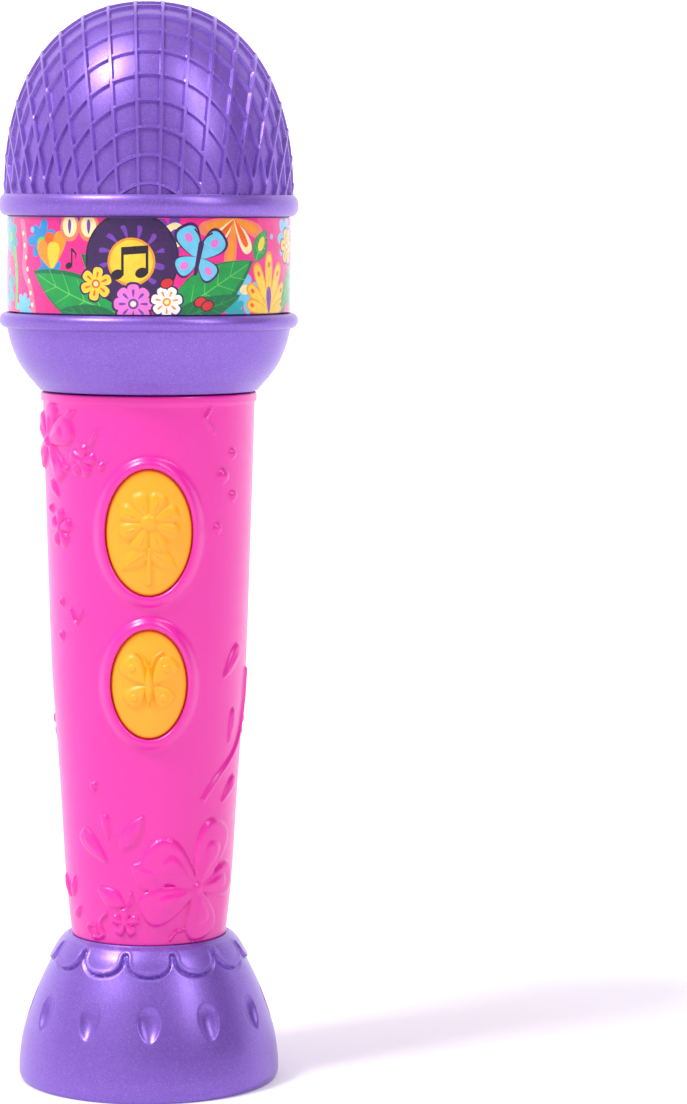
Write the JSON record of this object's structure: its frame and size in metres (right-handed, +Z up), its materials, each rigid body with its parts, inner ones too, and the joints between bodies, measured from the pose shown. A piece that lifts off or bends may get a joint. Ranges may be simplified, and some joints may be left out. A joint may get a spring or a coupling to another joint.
{
  "type": "toy microphone",
  "caption": "Free-standing toy hand microphone: ridged dome head, label drum, tapered two-shell handle with sprung push buttons, screwed battery door and a flared foot that holds a speaker.",
  "frame": {"origin": "centre of the flared foot on the surface that it stands on", "axes": "+Z up along the microphone towards the dome, -Y towards the front with the two buttons, +X to the right seen from the front"},
  "size_m": [0.0626, 0.0626, 0.228],
  "materials": {
    "pearl_purple": "pearl",
    "printed_label": "printed gloss film",
    "gloss_pink": "gloss",
    "satin_orange": "satin",
    "silicone": "matt",
    "zinc_steel": "zinc plated",
    "nickel": "nickel plated",
    "board_green": "solder mask",
    "black_plastic": "matt",
    "magnet_black": "matt",
    "cone_paper": "pressed paper",
    "cell_sleeve": "printed sleeve",
    "red_lead": "satin",
    "black_lead": "satin",
    "yellow_lead": "satin"
  },
  "bodies": {
    "housing": {"head_dome": "pearl_purple", "head_collar": "pearl_purple", "label_band": "printed_label", "head_bowl": "pearl_purple", "handle_front": "gloss_pink", "handle_back": "gloss_pink", "handle_screw_1": "zinc_steel", "handle_screw_2": "zinc_steel", "handle_screw_3": "zinc_steel", "handle_screw_4": "zinc_steel", "upper_button_pad": "silicone", "lower_button_pad": "silicone", "circuit_board": "board_green", "board_screw_1": "zinc_steel", "board_screw_2": "zinc_steel", "board_screw_3": "zinc_steel", "board_screw_4": "zinc_steel", "sound_chip": "black_plastic", "switch_body": "zinc_steel", "battery_1": "cell_sleeve", "battery_2": "cell_sleeve", "battery_spring_1": "nickel", "battery_spring_2": "nickel", "bridge_contact": "nickel", "positive_contact": "nickel", "negative_contact": "nickel", "base_shell": "pearl_purple", "base_plate": "pearl_purple", "base_screw_1": "zinc_steel", "base_screw_2": "zinc_steel", "base_screw_3": "zinc_steel", "speaker_basket": "zinc_steel", "speaker_cone": "cone_paper", "speaker_magnet": "magnet_black", "battery_lead_positive": "red_lead", "switch_lead": "red_lead", "battery_lead_negative": "black_lead", "speaker_lead_1": "yellow_lead", "speaker_lead_2": "black_lead"},
    "upper_button": {"upper_button": "satin_orange"},
    "lower_button": {"lower_button": "satin_orange"},
    "switch_knob": {"switch_knob": "black_plastic"},
    "battery_door": {"battery_door": "gloss_pink"},
    "upper_door_screw": {"door_screw_upper": "zinc_steel"},
    "lower_door_screw": {"door_screw_lower": "zinc_steel"}
  },
  "joints": [
    {"name": "upper_press", "type": "slide", "parent": "housing", "child": "upper_button", "axis": [0, 1, 0], "range_m": [0, 0.0015], "stiffness_N_per_m": 600, "springref_m": -0.001, "deforming": ["upper_button_pad"]},
    {"name": "lower_press", "type": "slide", "parent": "housing", "child": "lower_button", "axis": [0, 1, 0], "range_m": [0, 0.0015], "stiffness_N_per_m": 600, "springref_m": -0.001, "deforming": ["lower_button_pad"]},
    {"name": "power_slide", "type": "slide", "parent": "housing", "child": "switch_knob", "axis": [0, 0, 1], "range_m": [0, 0.003]},
    {"name": "door_lift", "type": "slide", "parent": "housing", "child": "battery_door", "axis": [0, 1, 0], "range_m": [0, 0.02]},
    {"name": "upper_door_screw_turn", "type": "hinge", "parent": "battery_door", "child": "upper_door_screw", "pos_m": [0, 0.0205, 0.1244], "axis": [0, 1, 0], "continuous": true},
    {"name": "lower_door_screw_turn", "type": "hinge", "parent": "battery_door", "child": "lower_door_screw", "pos_m": [0, 0.018, 0.0678], "axis": [0, 1, 0], "continuous": true}
  ]
}
